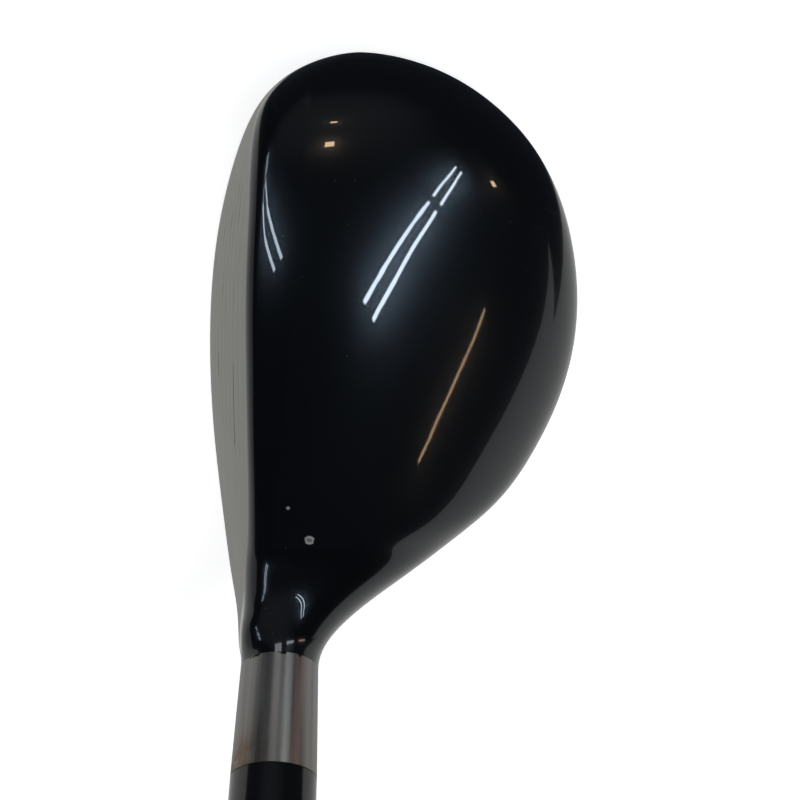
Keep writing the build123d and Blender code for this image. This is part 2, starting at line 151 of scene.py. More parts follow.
def sampled(edges):
    rows = []
    for edge, steps in zip(edges, EDGE_STEPS):
        rows.append(cubic(np.linspace(0, 1, steps, endpoint=False)[:, None], edge))
    return np.concatenate(rows)


def placed(points, turn, along=0.0):
    """Section points (distance back, height) put on the plane turned about the pivot."""
    up = np.array([-sin(turn), 0, cos(turn)])
    out = np.array([cos(turn), 0, sin(turn)])
    origin = np.array([PIVOT_X, 0, PIVOT_Z]) - up * PIVOT_Z + out * along
    return origin + points[:, :1] * np.array([0, 1, 0]) + points[:, 1:] * up


def spline_rows(knots, rows, at, end_slope):
    """Cubic spline through rows, free at the first end, with a given slope at the last."""
    n = len(knots)
    h = np.diff(knots)
    matrix = np.zeros((n, n))
    right = np.zeros(rows.shape)
    for i in range(1, n - 1):
        matrix[i, i - 1:i + 2] = h[i - 1], 2 * (h[i - 1] + h[i]), h[i]
        right[i] = 6 * ((rows[i + 1] - rows[i]) / h[i] - (rows[i] - rows[i - 1]) / h[i - 1])
    matrix[0, :3] = h[1], -(h[0] + h[1]), h[0]
    matrix[-1, -2:] = h[-1], 2 * h[-1]
    right[-1] = 6 * (end_slope - (rows[-1] - rows[-2]) / h[-1])
    bend = np.linalg.solve(matrix, right.reshape(n, -1)).reshape(rows.shape)
    out = []
    for x in at:
        i = min(max(np.searchsorted(knots, x) - 1, 0), n - 2)
        a, b = (knots[i + 1] - x) / h[i], (x - knots[i]) / h[i]
        curve = ((a ** 3 - a) * bend[i] + (b ** 3 - b) * bend[i + 1]) * h[i] ** 2 / 6
        out.append(a * rows[i] + b * rows[i + 1] + curve)
    return np.array(out)


def head_grid():
    """Grid of points over the head: rows from the toe tip to the hosel mouth, columns round a section."""
    rows = [np.repeat([np.array(TOE_TIP)], sum(EDGE_STEPS), axis=0)]
    rows += [placed(sampled(section_edges(s)), 0, s.place - PIVOT_X) for s in UPRIGHT]
    rows += [placed(sampled(section_edges(s)), radians(s.place)) for s in FANNED]
    rows.append(placed(sampled(ring_edges(PAINT_LINE_R)), LIE))
    rows = np.array(rows)
    mouth = placed(sampled(ring_edges(HOSEL_TOP_R)), LIE, HOSEL_TOP)
    chords = np.linalg.norm(np.diff(rows, axis=0), axis=2).mean(axis=1)
    knots = np.concatenate([[0], np.cumsum(chords)])
    slope = (mouth - rows[-1]) / HOSEL_TOP
    at = np.linspace(0, 1, LENGTH_STEPS + 1) * knots[-1]
    body = spline_rows(knots, rows, at, slope)
    share = np.linspace(0, 1, HOSEL_STEPS + 1)[1:, None, None]
    hosel = rows[-1] + (mouth - rows[-1]) * share
    return np.concatenate([body, hosel])


def grid_normals(grid):
    """Outward unit normals of the grid by central differences."""
    across = np.roll(grid, -1, axis=1) - np.roll(grid, 1, axis=1)
    along = np.gradient(grid, axis=0)
    normals = np.cross(along, across)
    length = np.linalg.norm(normals, axis=2, keepdims=True)
    normals = normals / np.maximum(length, 1e-12)
    normals[0] = (-1, 0, 0)
    return normals


# ---------------------------------------------------------------- head pieces cut from the surface
FACE_EDGE, TOP_EDGE, CROWN_EDGE, SOLE_EDGE, BOTTOM_EDGE = range(5)
CUT_SLACK = 1e-5                     # millimetres
FACE_CENTRE = np.array([0, 6.6, 18.0])
FACE_UP = np.array([0, sin(FACE_LOFT), cos(FACE_LOFT)])
FACE_SIDE = np.array([-1.0, 0, 0])
PLATE_OUTLINE = ((-24, -14), (-24, 16), (16, 15.5), (36, 8), (37, -4), (24, -14))
PLATE_ROUND = 5.0
SCORE_COUNT, SCORE_PITCH, SCORE_WIDTH, SCORE_DEPTH = 8, 3.4, 0.6, 0.035
SCORE_LENGTH, SCORE_TOEWARD = 44.0, 6.0      # the depth is less than the 0.2 mm of the CAD source
BADGE_OUTLINE = ((-30, 12), (20, 12), (12, 34), (-20, 34))
BADGE_ROUND = 4.0
PORT_PLACE = np.array([-2.0, 45.0, 3.6])
PORT_TILT = radians(12.8)
PORT_OUT = np.array([0, sin(PORT_TILT), -cos(PORT_TILT)])
PORT_UP = np.array([0, cos(PORT_TILT), sin(PORT_TILT)])
PORT_SIDE = np.array([1.0, 0, 0])
PORT_R, PORT_DEPTH, BOSS_R, BOSS_HEIGHT = 6.6, 3.6, 9.0, 8.6
CROWN_WALL, FACE_WALL, CASTING_WALL = 0.9, 2.2, 1.0
PAINT_SLOT, FACE_SLOT, SOLE_SLOT, HOSEL_SLOT = 0, 1, 2, 3
STEEL_END = ((37.8, 35.2), (50.7, 32.0))     # X and Z where the bare face ends on the neck
CROWN_FRONT_POINT = np.array([CROWN_HEEL_X, CROWN_FRONT_HEEL_Y, 0])
CROWN_FRONT_WAY = np.array([CROWN_FRONT_TOE_Y - CROWN_FRONT_HEEL_Y, CROWN_HEEL_X + 60, 0])


def rounded(points, radius, steps=6):
    """Convex outline with its corners rounded."""
    out = []
    count = len(points)
    for i, corner in enumerate(np.array(points, float)):
        before = np.array(points[i - 1], float) - corner
        after = np.array(points[(i + 1) % count], float) - corner
        before /= np.linalg.norm(before)
        after /= np.linalg.norm(after)
        half = np.arccos(np.clip(before @ after, -1, 1)) / 2
        middle = corner + (before + after) / np.linalg.norm(before + after) * radius / sin(half)
        first = corner + before * radius / tan(half) - middle
        last = corner + after * radius / tan(half) - middle
        turn = atan2(first[0] * last[1] - first[1] * last[0], first @ last)
        for step in range(steps + 1):
            out.append(middle + turned(first, np.degrees(turn) * step / steps))
    return np.array(out)


def circle_outline(radius, steps=40):
    return np.array([heading(360 * i / steps) * radius for i in range(steps)])


def head_mesh():
    """The whole head surface in one bmesh, with its exact normals and edge numbers stored on it."""
    grid = head_grid()
    normals = grid_normals(grid)
    bm = bmesh.new()
    normal_layer = bm.verts.layers.float_vector.new("exact")
    edge_layer = bm.faces.layers.int.new("edge")
    row_layer = bm.faces.layers.int.new("row")
    count_rows, count_columns = grid.shape[:2]
    tip = bm.verts.new(grid[0, 0])
    tip[normal_layer] = normals[0, 0]
    rows = []
    for row in range(1, count_rows):
        ring = []
        for column in range(count_columns):
            vert = bm.verts.new(grid[row, column])
            vert[normal_layer] = normals[row, column]
            ring.append(vert)
        rows.append(ring)
    column_edge = np.repeat(np.arange(len(EDGE_STEPS)), EDGE_STEPS)
    for column in range(count_columns):
        after = (column + 1) % count_columns
        made = [bm.faces.new((tip, rows[0][column], rows[0][after]))]
        for row in range(len(rows) - 1):
            corners = (rows[row][column], rows[row + 1][column], rows[row + 1][after], rows[row][after])
            made.append(bm.faces.new(corners))
        for number, face in enumerate(made):
            face[edge_layer] = int(column_edge[column])
            face[row_layer] = number
    bm.normal_update()
    return bm


def cut(bm, faces, point, way):
    """Cuts these faces by a plane and returns them with the new ones."""
    geometry = set(faces)
    for face in faces:
        geometry.update(face.edges)
        geometry.update(face.verts)
    result = bmesh.ops.bisect_plane(
        bm, geom=list(geometry), dist=CUT_SLACK, plane_co=Vector(point), plane_no=Vector(way))
    return [item for item in result["geom"] if isinstance(item, bmesh.types.BMFace)]


def outline_planes(outline, origin, side, up):
    """One plane through each side of a convex outline, as (point, outward normal)."""
    spin = 1 if np.cross(outline[1] - outline[0], outline[2] - outline[1]) > 0 else -1
    planes = []
    for first, last in zip(outline, np.roll(outline, -1, axis=0)):
        run = last - first
        out = np.array([run[1], -run[0]]) * spin
        planes.append((origin + side * first[0] + up * first[1], side * out[0] + up * out[1]))
    return planes


def cut_outline(bm, faces, planes):
    """Cuts the faces along a convex outline and returns those inside it."""
    for point, way in planes:
        faces = cut(bm, faces, point, way)
    return [f for f in faces if within(f, planes)]


def within(face, planes):
    middle = np.array(face.calc_center_median())
    return all((middle - point) @ way < 0 for point, way in planes)


def cup_under(points, polygons, loops, ring, depth, reversed_side):
    """Closes a ring of mesh edges with a wall along the port's axis and a flat floor at this depth."""
    floor = {}
    for a, b in ring:
        for corner in (a, b):
            if corner not in floor:
                point = points[corner]
                drop = (point - PORT_PLACE) @ PORT_OUT + depth
                floor[corner] = len(points)
                points.append(point - PORT_OUT * drop)
        wall = (b, a, floor[a], floor[b])
        way = np.cross(points[a] - points[b], points[floor[a]] - points[b])
        polygons.append(wall)
        loops += [way / max(np.linalg.norm(way), CUT_SLACK)] * 4
    spokes = sorted(floor.values(), key=lambda i: atan2(
        (points[i] - PORT_PLACE) @ PORT_UP, (points[i] - PORT_PLACE) @ PORT_SIDE))
    if reversed_side:
        spokes.reverse()
    polygons.append(spokes)
    loops += [PORT_OUT * (-1 if reversed_side else 1)] * len(spokes)


def thick_piece(name, bm, faces, wall, sunk=(), annulus=()):
    """Object with a closed wall behind these faces. Under the annulus the wall gives way to the port."""
    normal_layer = bm.verts.layers.float_vector["exact"]
    index = {}
    for face in faces:
        for vert in face.verts:
            index.setdefault(vert, len(index))
    exact = np.array([v[normal_layer] for v in index])
    exact /= np.linalg.norm(exact, axis=1, keepdims=True)
    outer = np.array([v.co for v in index])
    points = list(outer) + list(outer - exact * wall)
    count = len(index)
    inside, ring_faces = set(faces), set(annulus)
    polygons, loops, slots, mouth, collar = [], [], [], [], []
    for face in faces:
        corners = [index[v] for v in face.verts]
        polygons.append(corners)
        if any(v in sunk for v in face.verts):
            loops += [np.array(face.normal)] * len(corners)
        else:
            loops += [exact[c] for c in corners]
        slots.append(face.material_index)
        if face not in ring_faces:
            polygons.append([c + count for c in reversed(corners)])
            loops += [-exact[c] for c in reversed(corners)]
            slots.append(face.material_index)
        for loop in face.loops:
            a, b = index[loop.vert], index[loop.link_loop_next.vert]
            beyond = [f for f in loop.edge.link_faces if f is not face and f in inside]
            if not beyond and face in ring_faces:
                mouth.append((a, b))
            elif not beyond:
                rim = (b, a, a + count, b + count)
                way = np.cross(points[a] - points[b], points[a + count] - points[b])
                polygons.append(rim)
                loops += [way / max(np.linalg.norm(way), CUT_SLACK)] * 4
                slots.append(face.material_index)
            elif beyond[0] in ring_faces and face not in ring_faces:
                collar.append((b + count, a + count))
    if mouth:
        cup_under(points, polygons, loops, mouth, PORT_DEPTH, False)
        cup_under(points, polygons, loops, collar, BOSS_HEIGHT, True)
        slots += [SOLE_SLOT] * (len(polygons) - len(slots))
    mesh = bpy.data.meshes.new(name)
    mesh.from_pydata([tuple(p * MM) for p in points], [], [tuple(p) for p in polygons])
    mesh.polygons.foreach_set("material_index", slots)
    mesh.polygons.foreach_set("use_smooth", [True] * len(polygons))
    mesh.update()
    mesh.normals_split_custom_set([tuple(n) for n in loops])
    piece = bpy.data.objects.new(name, mesh)
    bpy.context.collection.objects.link(piece)
    return piece


def sink_scores(bm, plate):
    """Presses the score lines into the face plate; returns its faces and the lowered vertices."""
    rises = [(row - (SCORE_COUNT - 1) / 2) * SCORE_PITCH for row in range(SCORE_COUNT)]
    half, floor = SCORE_WIDTH / 2, SCORE_WIDTH / 6
    for rise in rises:
        for offset in (-half, -floor, floor, half):
            plate = cut(bm, plate, FACE_CENTRE + FACE_UP * (rise + offset), FACE_UP)
    reach = SCORE_LENGTH / 2
    for end in (-reach, -reach + half, reach - half, reach):
        plate = cut(bm, plate, FACE_CENTRE + FACE_SIDE * (SCORE_TOEWARD + end), FACE_SIDE)
    normal_layer = bm.verts.layers.float_vector["exact"]
    sunk = set()
    for vert in {v for face in plate for v in face.verts}:
        place = np.array(vert.co) - FACE_CENTRE
        rise, side = place @ FACE_UP, place @ FACE_SIDE - SCORE_TOEWARD
        on_line = any(abs(rise - line) < floor + 10 * CUT_SLACK for line in rises)
        if on_line and abs(side) < reach - half + 10 * CUT_SLACK:
            vert.co -= vert[normal_layer].normalized() * SCORE_DEPTH
            sunk.add(vert)
    bm.normal_update()
    return plate, sunk


def crown_faces(bm, edge_layer):
    upper = [f for f in bm.faces if f.calc_center_median().z > PARTING_Z]
    upper = [f for f in upper if f[edge_layer] in (TOP_EDGE, CROWN_EDGE, SOLE_EDGE)]
    upper = cut(bm, upper, (CROWN_HEEL_X, 0, 0), (1, 0, 0))
    upper = cut(bm, upper, CROWN_FRONT_POINT, CROWN_FRONT_WAY)
    crown = set()
    for face in upper:
        middle = np.array(face.calc_center_median())
        if middle[0] < CROWN_HEEL_X and (middle - CROWN_FRONT_POINT) @ CROWN_FRONT_WAY > 0:
            crown.add(face)
    return crown


def cut_steel_end(bm, edge_layer):
    """Cuts the slanted line on the neck where the bare face ends and the lacquer starts."""
    (first_x, first_z), (last_x, last_z) = STEEL_END
    point = np.array([first_x, 0, first_z])
    way = np.array([first_z - last_z, 0, last_x - first_x])
    near = [f for f in bm.faces if f[edge_layer] in (FACE_EDGE, BOTTOM_EDGE)]
    cut(bm, [f for f in near if f.calc_center_median().x > CROWN_HEEL_X], point, way)
    return point, way


def plate_faces(bm, edge_layer):
    front = [f for f in bm.faces if f[edge_layer] == FACE_EDGE and f.calc_center_median().x < CROWN_HEEL_X]
    outline = rounded(PLATE_OUTLINE, PLATE_ROUND)
    plate = cut_outline(bm, front, outline_planes(outline, FACE_CENTRE, FACE_SIDE, FACE_UP))
    plate, sunk = sink_scores(bm, plate)
    return set(plate), sunk


def badge_faces(bm, edge_layer):
    low = [f for f in bm.faces if f[edge_layer] in (SOLE_EDGE, BOTTOM_EDGE)]
    low = [f for f in low if f.calc_center_median().z < PARTING_Z / 2]
    outline = rounded(BADGE_OUTLINE, BADGE_ROUND)
    planes = outline_planes(outline, np.zeros(3), -FACE_SIDE, np.array([0, 1.0, 0]))
    return set(cut_outline(bm, low, planes))


def port_faces(bm, edge_layer, badge):
    """Cuts the port and its boss out of the sole; returns the faces in the hole and the boss's planes."""
    low = [f for f in bm.faces if f[edge_layer] == SOLE_EDGE and f not in badge]
    near = [f for f in low if (f.calc_center_median() - Vector(PORT_PLACE)).length < 1.5 * BOSS_R]
    boss_planes = outline_planes(circle_outline(BOSS_R), PORT_PLACE, PORT_SIDE, PORT_UP)
    hole_planes = outline_planes(circle_outline(PORT_R), PORT_PLACE, PORT_SIDE, PORT_UP)
    boss = cut_outline(bm, near, boss_planes)
    return set(cut_outline(bm, boss, hole_planes)), boss_planes


def in_order(bm, faces):
    """These faces in the mesh's own order: a set's order would change from run to run."""
    return [face for face in bm.faces if face in faces]


def build_head():
    """Crown, face plate and casting, cut from one surface so that their joints can't be seen."""
    bm = head_mesh()
    edge_layer = bm.faces.layers.int["edge"]
    row_layer = bm.faces.layers.int["row"]
    cut(bm, bm.faces[:], (0, 0, PARTING_Z), (0, 0, 1))
    crown = crown_faces(bm, edge_layer)
    steel_point, steel_way = cut_steel_end(bm, edge_layer)
    plate, sunk = plate_faces(bm, edge_layer)
    badge = badge_faces(bm, edge_layer)
    hole, boss_planes = port_faces(bm, edge_layer, badge)
    annulus, casting = [], []
    for face in bm.faces:
        middle = np.array(face.calc_center_median())
        edge = face[edge_layer]
        bare = edge in (FACE_EDGE, BOTTOM_EDGE) and (middle - steel_point) @ steel_way < 0
        if face[row_layer] >= LENGTH_STEPS:
            face.material_index = HOSEL_SLOT
        elif edge == FACE_EDGE and bare:
            face.material_index = FACE_SLOT
        elif middle[2] < PARTING_Z or bare:
            face.material_index = SOLE_SLOT
        else:
            face.material_index = PAINT_SLOT
        if face in crown or face in plate or face in badge or face in hole:
            continue
        casting.append(face)
        if edge == SOLE_EDGE and middle[2] < PARTING_Z and within(face, boss_planes):
            annulus.append(face)
    pieces = (
        thick_piece("head_casting", bm, casting, CASTING_WALL, annulus=annulus),
        thick_piece("crown_plate", bm, in_order(bm, crown), CROWN_WALL),
        thick_piece("face_insert", bm, in_order(bm, plate), FACE_WALL, sunk=sunk),
    )
    bm.free()
    return pieces


# ---------------------------------------------------------------- pieces turned about the shaft axis
SHAFT_SIDE = np.array([0, 1.0, 0])
TIP_R, BUTT_R = 4.7, 7.62
TIP_BORE_R, BUTT_BORE_R = 2.7, 6.6
SHAFT_START, TIP_PARALLEL, BUTT_PARALLEL, SHAFT_END = -11.5, 75.0, 700.0, 975.0
FERRULE_END, FERRULE_LIP_R, WAIST_STEPS = 42.5, 5.0, 40
FERRULE_WAIST = ((6.75, 23.3), (6.75, 30.5), (5.0, 32.9), (5.0, 42.5))
BAND_START, BAND_END, BAND_THICK = 650.0, 686.0, 0.12
GRIP_START, GRIP_BORE_R = 712.0, 7.82
GRIP_LINE = ((8.6, 712.0), (9.0, 743.6), (11.1, 875.1), (13.2, 975.0))
CAP_END, CAP_ROUND, VENT_R = 979.5, 2.5, 1.5
GROOVE_STARTS, GROOVE_DEPTH, GROOVE_LEAN, GROOVE_SHARPNESS = 22, 0.35, 10.5, 8
GRIP_PANELS = ((722.0, 800.0), (812.0, 890.0), (902.0, 962.0))
PANEL_FADE, RING_PITCH, RING_HALF = 2, 3.0, 0.7
GRIP_ROWS, GRIP_SEGMENTS, TAPE_INSET, BORE_MARGIN = 520, 160, 2, 0.1
LIP_END, LIP_FIRST, LIP_SECOND = 0.6, (0.5, 0), (0.12, 0.15)     # each: in from the radius, along
CAP_DISH = ((9.0, 0), (8.6, 0.4), (5.4, 0.4), (5.0, 0))          # radius, depth
CAP_STEPS, VENT_EDGE = 10, 0.3


def on_axis(radius, along, turn):
    """Point at this radius and turn about the shaft axis, this far along it from the paint line."""
    out = SHAFT_UP * cos(turn) + SHAFT_SIDE * sin(turn)
    return PAINT_CENTRE + SHAFT_WAY * along + out * radius


def turned_piece(name, profile, segments=128, dig=None):
    """Closed profile of (radius, distance along the axis), turned; dig is the depth pressed in at a spot."""
    bm = bmesh.new()
    rings = []
    for radius, along in profile:
        ring = []
        for step in range(segments):
            turn = 2 * pi * step / segments
            depth = dig(radius, along, turn) if dig else 0
            ring.append(bm.verts.new(on_axis(radius - depth, along, turn) * MM))
        rings.append(ring)
    for here, there in zip(rings, rings[1:] + rings[:1]):
        for step in range(segments):
            after = (step + 1) % segments
            bm.faces.new((here[step], here[after], there[after], there[step]))
    bmesh.ops.recalc_face_normals(bm, faces=bm.faces)
    mesh = bpy.data.meshes.new(name)
    bm.to_mesh(mesh)
    bm.free()
    mesh.polygons.foreach_set("use_smooth", [True] * len(mesh.polygons))
    mesh.set_sharp_from_angle(angle=radians(30))
    piece = bpy.data.objects.new(name, mesh)
    bpy.context.collection.objects.link(piece)
    return piece


def shaft_radius(along):
    share = min(max((along - TIP_PARALLEL) / (BUTT_PARALLEL - TIP_PARALLEL), 0), 1)
    return TIP_R + (BUTT_R - TIP_R) * share


def build_ferrule():
    edge = 0.12
    waist = [cubic(t, np.array(FERRULE_WAIST)) for t in np.linspace(0, 1, WAIST_STEPS + 1)]
    profile = [(TIP_R, HOSEL_TOP), (HOSEL_TOP_R - edge, HOSEL_TOP), (HOSEL_TOP_R, HOSEL_TOP + edge)]
    profile += [tuple(p) for p in waist[:-1]]
    profile += [
        (FERRULE_LIP_R, FERRULE_END - edge), (FERRULE_LIP_R - edge, FERRULE_END), (TIP_R, FERRULE_END)]
    return turned_piece("ferrule_collar", profile)


def build_shaft():
    stops = (SHAFT_START, 0, TIP_PARALLEL, 200, 400, 600, BUTT_PARALLEL, 800, SHAFT_END)
    outer = [(shaft_radius(s), s) for s in stops]
    bores = ((BUTT_BORE_R, SHAFT_END), (BUTT_BORE_R, BUTT_PARALLEL), (TIP_BORE_R, TIP_PARALLEL))
    return turned_piece("graphite_shaft", outer + list(bores) + [(TIP_BORE_R, SHAFT_START)])


def build_band():
    edge = 0.04
    first, last = shaft_radius(BAND_START), shaft_radius(BAND_END)
    return turned_piece("foil_band", [
        (first, BAND_START),
        (first + BAND_THICK - edge, BAND_START),
        (first + BAND_THICK, BAND_START + edge),
        (last + BAND_THICK, BAND_END - edge), (last + BAND_THICK - edge, BAND_END), (last, BAND_END)])


def grip_radius(along):
    """Smooth curve through the grip's four radii."""
    total = 0
    for i, (radius, stop) in enumerate(GRIP_LINE):
        part = radius
        for j, (_, other) in enumerate(GRIP_LINE):
            if i != j:
                part *= (along - other) / (stop - other)
        total += part
    return total


def grip_groove(radius, along, turn):
    """Depth of the moulded pattern: diamond panels with plain collars and thin rings between them."""
    if radius < GRIP_BORE_R + BORE_MARGIN:
        return 0
    depth = 0
    for start, stop in GRIP_PANELS:
        fade = min(max(min(along - start, stop - along) / PANEL_FADE, 0), 1)
        lean = (along - GRIP_START) / GROOVE_LEAN
        first = max(cos(GROOVE_STARTS * (turn + lean)), 0) ** GROOVE_SHARPNESS
        second = max(cos(GROOVE_STARTS * (turn - lean)), 0) ** GROOVE_SHARPNESS
        depth = max(depth, fade * max(first, second))
        for side in (start - RING_PITCH, stop + RING_PITCH):
            depth = max(depth, max(1 - abs(along - side) / RING_HALF, 0))
    return depth * GROOVE_DEPTH


def build_grip():
    outer = [(grip_radius(s), s) for s in np.linspace(GRIP_START + LIP_END, SHAFT_END, GRIP_ROWS)]
    mouth_r, tape = grip_radius(GRIP_START), GRIP_START + TAPE_INSET
    mouth = [(mouth_r - inward, GRIP_START + along) for inward, along in (LIP_FIRST, LIP_SECOND)]
    inner = [(GRIP_BORE_R, SHAFT_END), (GRIP_BORE_R, tape), (BUTT_R, tape), (BUTT_R, GRIP_START)]
    return turned_piece("grip_rubber_sleeve", mouth + outer + inner, GRIP_SEGMENTS, grip_groove)


def build_cap():
    radius = GRIP_LINE[-1][0]
    rim = [(radius - CAP_ROUND * (1 - cos(a)), CAP_END - CAP_ROUND * (1 - sin(a)))
           for a in np.linspace(0, pi / 2, CAP_STEPS)]
    dish = [(edge, CAP_END - depth) for edge, depth in CAP_DISH]
    vent = [(VENT_R + VENT_EDGE, CAP_END), (VENT_R, CAP_END - VENT_EDGE)]
    return turned_piece("grip_end_cap", [(VENT_R, SHAFT_END), (radius, SHAFT_END)] + rim + dish + vent)


# ---------------------------------------------------------------- materials
class Nodes:
    """Short ways to add nodes to a tree and join them."""

    def __init__(self, owner, coordinates):
        owner.use_nodes = True
        self.tree = owner.node_tree
        self.place = self.node("ShaderNodeTexCoord").outputs[coordinates]

    def node(self, kind, values=(), **settings):
        node = self.tree.nodes.new(kind)
        for setting, value in settings.items():
            setattr(node, setting, value)
        for socket, value in dict(values).items():
            if isinstance(value, bpy.types.NodeSocket):
                self.tree.links.new(value, node.inputs[socket])
            else:
                node.inputs[socket].default_value = value
        return node

    def math(self, operation, first, second=0.0):
        return self.node("ShaderNodeMath", {0: first, 1: second}, operation=operation).outputs[0]

    def between(self, value, low, high, out_low=0.0, out_high=1.0):
        return self.node("ShaderNodeMapRange", {
            "Value": value, "From Min": low, "From Max": high,
            "To Min": out_low, "To Max": out_high}, interpolation_type="SMOOTHSTEP").outputs[0]

    def mix(self, share, first, second):
        node = self.node("ShaderNodeMix", data_type="RGBA")
        for socket, value in ((node.inputs[0], share), (node.inputs[6], first), (node.inputs[7], second)):
            if isinstance(value, bpy.types.NodeSocket):
                self.tree.links.new(value, socket)
            elif isinstance(value, float):
                socket.default_value = value
            else:
                socket.default_value = (*value, 1)
        return node.outputs[2]

    def toward(self, way):
        """How nearly a direction points this way, as a cosine."""
        dot = self.node("ShaderNodeVectorMath", {0: self.place, 1: way}, operation="DOT_PRODUCT")
        return dot.outputs["Value"]


class Paint(Nodes):
    """A material being made: its shader, and nodes painted in the club's own coordinates in metres."""

    def __init__(self, name, **sockets):
        self.material = bpy.data.materials.new(name)
        super().__init__(self.material, "Object")
        self.shader = self.tree.nodes["Principled BSDF"]
        for socket, value in sockets.items():
            self.shader.inputs[socket.replace("_", " ")].default_value = value

    def mapped(self, scale, turn=(0, 0, 0), shift=(0, 0, 0)):
        """Coordinates moved, turned and then stretched."""
        moved = self.node("ShaderNodeVectorMath", {0: self.place, 1: shift}, operation="SUBTRACT")
        turned_place = self.node("ShaderNodeVectorRotate", {
            "Vector": moved.outputs[0], "Rotation": turn}, rotation_type="EULER_XYZ")
        return self.node("ShaderNodeVectorMath", {
            0: turned_place.outputs[0], 1: scale}, operation="MULTIPLY").outputs[0]

    def noise(self, scale, detail=4.0, turn=(0, 0, 0), distortion=0.0):
        place = self.mapped(scale, turn)
        return self.node("ShaderNodeTexNoise", {
            "Vector": place, "Scale": 1.0, "Detail": detail, "Distortion": distortion}).outputs[0]

    def spots(self, scale, size, share=1.0):
        """Small round spots in some cells, 0 or 1."""
        place = self.mapped((scale, scale, scale))
        cells = self.node("ShaderNodeTexVoronoi", {"Vector": place, "Scale": 1.0})
        near = self.between(cells.outputs["Distance"], size, size * 0.6)
        chosen = self.node("ShaderNodeSeparateColor", {0: cells.outputs["Color"]}).outputs[0]
        return self.math("MULTIPLY", near, self.between(chosen, 1 - share, 1.001 - share))

    def bump(self, height, distance, under=None, socket="Normal"):
        values = {"Height": height, "Distance": distance, "Strength": 1.0}
        if under:
            values["Normal"] = under
        normal = self.node("ShaderNodeBump", values).outputs[0]
        self.give(socket, normal)
        return normal

    def near_point(self, place, radius, soft):
        """1 within this distance of a point, in metres."""
        away = self.node("ShaderNodeVectorMath", {0: self.place, 1: place}, operation="DISTANCE")
        return self.between(away.outputs["Value"], radius + soft, radius)

    def along_axis(self):
        """Distance along the shaft axis from the paint line, in metres."""
        away = self.node(
            "ShaderNodeVectorMath", {0: self.place, 1: PAINT_CENTRE * MM}, operation="SUBTRACT")
        return self.node("ShaderNodeVectorMath", {
            0: away.outputs[0], 1: SHAFT_WAY}, operation="DOT_PRODUCT").outputs["Value"]

    def coordinate(self, axis):
        return self.node("ShaderNodeSeparateXYZ", {0: self.place}).outputs[axis]

    def give(self, socket, value):
        self.tree.links.new(value, self.shader.inputs[socket])


AXIS_TURN = (0, -(pi / 2 - LIE), 0)          # turns the shaft axis upright
CHIP_PLACE = (0.0284, 0.0206, 0.0368)
SPECK_PLACE = (0.0225, 0.0174, 0.0369)
SHADOW_BLACK = (0.0016, 0.0017, 0.0020)
CHIP_EDGE, CHIP_CORE, CHIP_RAGGED = (0.00125, 0.00110), (0.00085, 0.00070), 0.0008
HEAT_ALONG, HEAT_SIDE = (0.0115, 0.0185), (0.0165, 0.0105)      # stretch of the shaft axis, and Y
STRIPE_PLACE, STRIPE_EDGE = 0.40, (0.022, 0.016)                # shares of the band's length
LATHE_PITCH = 0.00025


def black_lacquer():
    """Wet-looking black paint with faint ripple, hairlines, dust and one chip down to the primer."""
    paint = Paint("black_lacquer", Roughness=0.22, Coat_Weight=1.0, Coat_IOR=1.5,
                  Specular_IOR_Level=0.36, Specular_Tint=(0.72, 0.86, 1.0, 1.0))
    hair = paint.noise((2600, 60, 60), 2.0, (0, 0, 0.5))
    cross = paint.noise((60, 3000, 60), 2.0, (0, 0, 0.35))
    scratched = paint.math("MAXIMUM", paint.between(hair, 0.70, 0.76), paint.between(cross, 0.71, 0.76))
    where = paint.between(paint.noise((45, 45, 45), 2.0), 0.48, 0.62)
    scratched = paint.math("MULTIPLY", scratched, where)
    dust = paint.spots(640, 0.075, 0.10)
    tone = paint.mix(paint.noise((30, 30, 30)), SHADOW_BLACK, (0.0030, 0.0033, 0.0040))
    tone = paint.mix(paint.math("MULTIPLY", scratched, 0.35), tone, (0.035, 0.037, 0.040))
    tone = paint.mix(paint.math("MULTIPLY", dust, 0.5), tone, (0.10, 0.10, 0.10))
    ragged = paint.math("MULTIPLY", paint.noise((2500, 2500, 2500), 3.0), CHIP_RAGGED)
    away = paint.node("ShaderNodeVectorMath", {0: paint.place, 1: CHIP_PLACE}, operation="DISTANCE")
    edge = paint.math("ADD", away.outputs["Value"], ragged)
    chip = paint.between(edge, *CHIP_EDGE)
    core = paint.between(edge, *CHIP_CORE)
    tone = paint.mix(chip, tone, (0.30, 0.30, 0.29))
    tone = paint.mix(paint.math("MULTIPLY", core, 0.75), tone, (0.05, 0.05, 0.05))
    tone = paint.mix(paint.near_point(SPECK_PLACE, 0.0002, 0.0002), tone, (0.25, 0.25, 0.25))
    paint.give("Base Color", tone)
    smudge = paint.between(paint.noise((26, 26, 26), 3.0), 0.35, 0.7, 0.015, 0.045)
    coat = paint.math("ADD", smudge, paint.math("MULTIPLY", scratched, 0.10))
    paint.give("Coat Roughness", paint.math("ADD", coat, paint.math("MULTIPLY", chip, 0.4)))
    paint.bump(hair, 0.000006)
    ripple = paint.bump(paint.noise((210, 210, 210), 2.0), 0.0000055, socket="Coat Normal")
    paint.bump(chip, -0.00005, under=ripple, socket="Coat Normal")
    return paint.material


